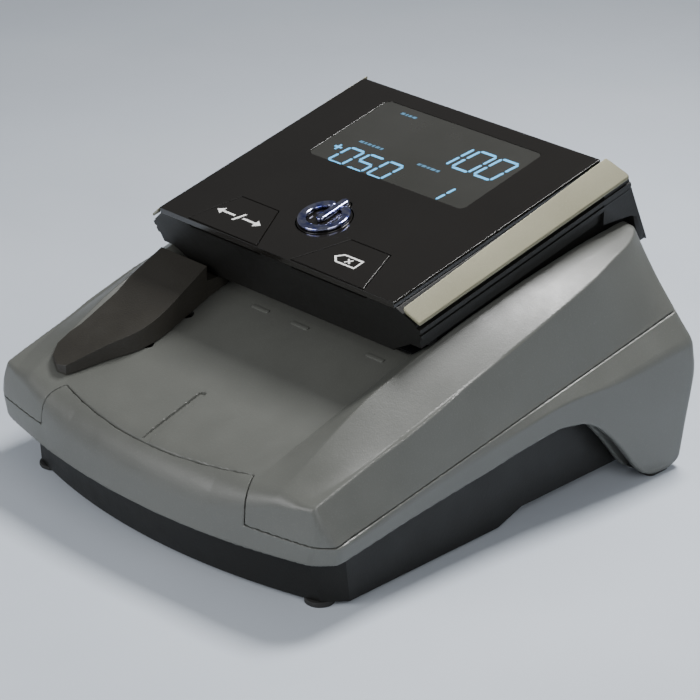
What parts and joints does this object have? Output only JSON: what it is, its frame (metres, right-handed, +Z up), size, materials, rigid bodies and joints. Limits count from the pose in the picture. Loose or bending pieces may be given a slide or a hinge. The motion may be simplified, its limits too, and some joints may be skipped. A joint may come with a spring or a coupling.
{
  "type": "counterfeit bill detector",
  "caption": "Desktop counterfeit banknote detector: sloped grey feed tray between raised shoulders, black hinged sensor head with display, keys and power ring, roller feed inside.",
  "frame": {"origin": "middle of the overall footprint, on the surface the feet rest on", "axes": "+X to the operator's right, -Y towards the operator (bills enter at -Y and leave at +Y), +Z up"},
  "size_m": [0.1554, 0.1589, 0.0947],
  "materials": {
    "grey_plastic": "fine textured satin",
    "black_plastic": "fine textured satin",
    "guide_plastic": "fine textured satin",
    "path_plastic": "smooth satin",
    "panel_gloss": "polished",
    "champagne_trim": "satin metallic",
    "chrome_ring": "polished",
    "lcd_glass": "polished",
    "sensor_glass": "polished",
    "foot_rubber": "matte",
    "roller_rubber": "matte",
    "belt_rubber": "matte",
    "gear_plastic": "satin",
    "steel": "brushed",
    "brass_contact": "satin",
    "circuit_board": "solder mask",
    "component_black": "moulded",
    "battery_wrap": "shrink film"
  },
  "bodies": {
    "base": {"upper_shell": "grey_plastic", "bumper_frame": "grey_plastic", "base_casing": "black_plastic", "rear_panel": "black_plastic", "dc_socket": "black_plastic", "dc_socket_pin": "brass_contact", "update_port": "steel", "front_feet": "foot_rubber", "rear_feet": "foot_rubber", "casing_screws": "steel", "battery_door": "black_plastic", "battery_door_screws": "steel", "battery_pack": "battery_wrap", "main_board": "circuit_board", "board_components": "component_black", "board_screws": "steel", "path_plate": "path_plastic", "lower_sensor_bar": "component_black", "lower_sensor_glass": "sensor_glass", "left_side_plate": "steel", "right_side_plate": "steel", "shaft_bushes": "brass_contact", "drive_belt": "belt_rubber", "middle_gear_pin": "steel", "motor": "steel", "hinge_bracket": "steel"},
    "front_feed": {"front_feed_shaft": "steel", "front_feed_rollers": "roller_rubber", "front_feed_gear": "gear_plastic", "front_pulley": "gear_plastic"},
    "rear_feed": {"rear_feed_shaft": "steel", "rear_feed_rollers": "roller_rubber", "rear_pulley": "gear_plastic"},
    "middle_gear": {"middle_gear": "gear_plastic"},
    "motor_rotor": {"motor_shaft": "steel", "motor_pinion": "brass_contact"},
    "guide": {"bill_guide": "guide_plastic", "guide_clips": "steel"},
    "head": {"head_housing": "black_plastic", "head_lower_cover": "path_plastic", "hinge_pins": "steel", "glass_panel": "panel_gloss", "lcd_window": "lcd_glass", "lcd_module": "component_black", "left_trim": "champagne_trim", "right_trim": "champagne_trim", "display_board": "circuit_board", "tact_switches": "steel", "upper_sensor_bar": "component_black", "upper_sensor_glass": "sensor_glass", "magnetic_sensor": "steel", "press_blocks": "gear_plastic"},
    "reverse_key": {"reverse_button": "panel_gloss"},
    "clear_key": {"clear_button": "panel_gloss"},
    "power_key": {"power_button": "panel_gloss", "power_symbol": "chrome_ring"},
    "front_press": {"front_press_shaft": "steel", "front_press_rollers": "roller_rubber"},
    "rear_press": {"rear_press_shaft": "steel", "rear_press_rollers": "roller_rubber"}
  },
  "joints": [
    {"name": "head_hinge", "type": "hinge", "parent": "base", "child": "head", "pos_m": [0, 0.0754, 0.0692], "axis": [-1, 0, 0], "range_deg": [0, 55]},
    {"name": "guide_slide", "type": "slide", "parent": "base", "child": "guide", "axis": [1, 0, 0], "range_m": [0, 0.008]},
    {"name": "feed_spin", "type": "hinge", "parent": "base", "child": "front_feed", "pos_m": [0, 0.00754, 0.05163], "axis": [1, 0, 0], "continuous": true},
    {"name": "rear_feed_spin", "type": "hinge", "parent": "base", "child": "rear_feed", "pos_m": [0, 0.054, 0.05543], "axis": [1, 0, 0], "continuous": true},
    {"name": "middle_gear_spin", "type": "hinge", "parent": "base", "child": "middle_gear", "pos_m": [0, 0.00154, 0.03658], "axis": [1, 0, 0], "continuous": true},
    {"name": "motor_spin", "type": "hinge", "parent": "base", "child": "motor_rotor", "pos_m": [0, 0.01154, 0.02892], "axis": [1, 0, 0], "continuous": true},
    {"name": "front_press_spin", "type": "hinge", "parent": "head", "child": "front_press", "pos_m": [0, 0.0044, 0.06259], "axis": [1, 0, 0], "continuous": true},
    {"name": "rear_press_spin", "type": "hinge", "parent": "head", "child": "rear_press", "pos_m": [0, 0.054, 0.06683], "axis": [1, 0, 0], "continuous": true},
    {"name": "reverse_key_press", "type": "slide", "parent": "head", "child": "reverse_key", "axis": [0, 0.213, -0.977], "range_m": [0, 0.0008], "stiffness_N_per_m": 400},
    {"name": "clear_key_press", "type": "slide", "parent": "head", "child": "clear_key", "axis": [0, 0.213, -0.977], "range_m": [0, 0.0008], "stiffness_N_per_m": 400},
    {"name": "power_key_press", "type": "slide", "parent": "head", "child": "power_key", "axis": [0, 0.213, -0.977], "range_m": [0, 0.0008], "stiffness_N_per_m": 400}
  ],
  "couplings": [
    {"joint": "rear_feed_spin", "follows": "feed_spin", "ratio": 1},
    {"joint": "middle_gear_spin", "follows": "feed_spin", "ratio": -0.8},
    {"joint": "motor_spin", "follows": "feed_spin", "ratio": 2}
  ]
}
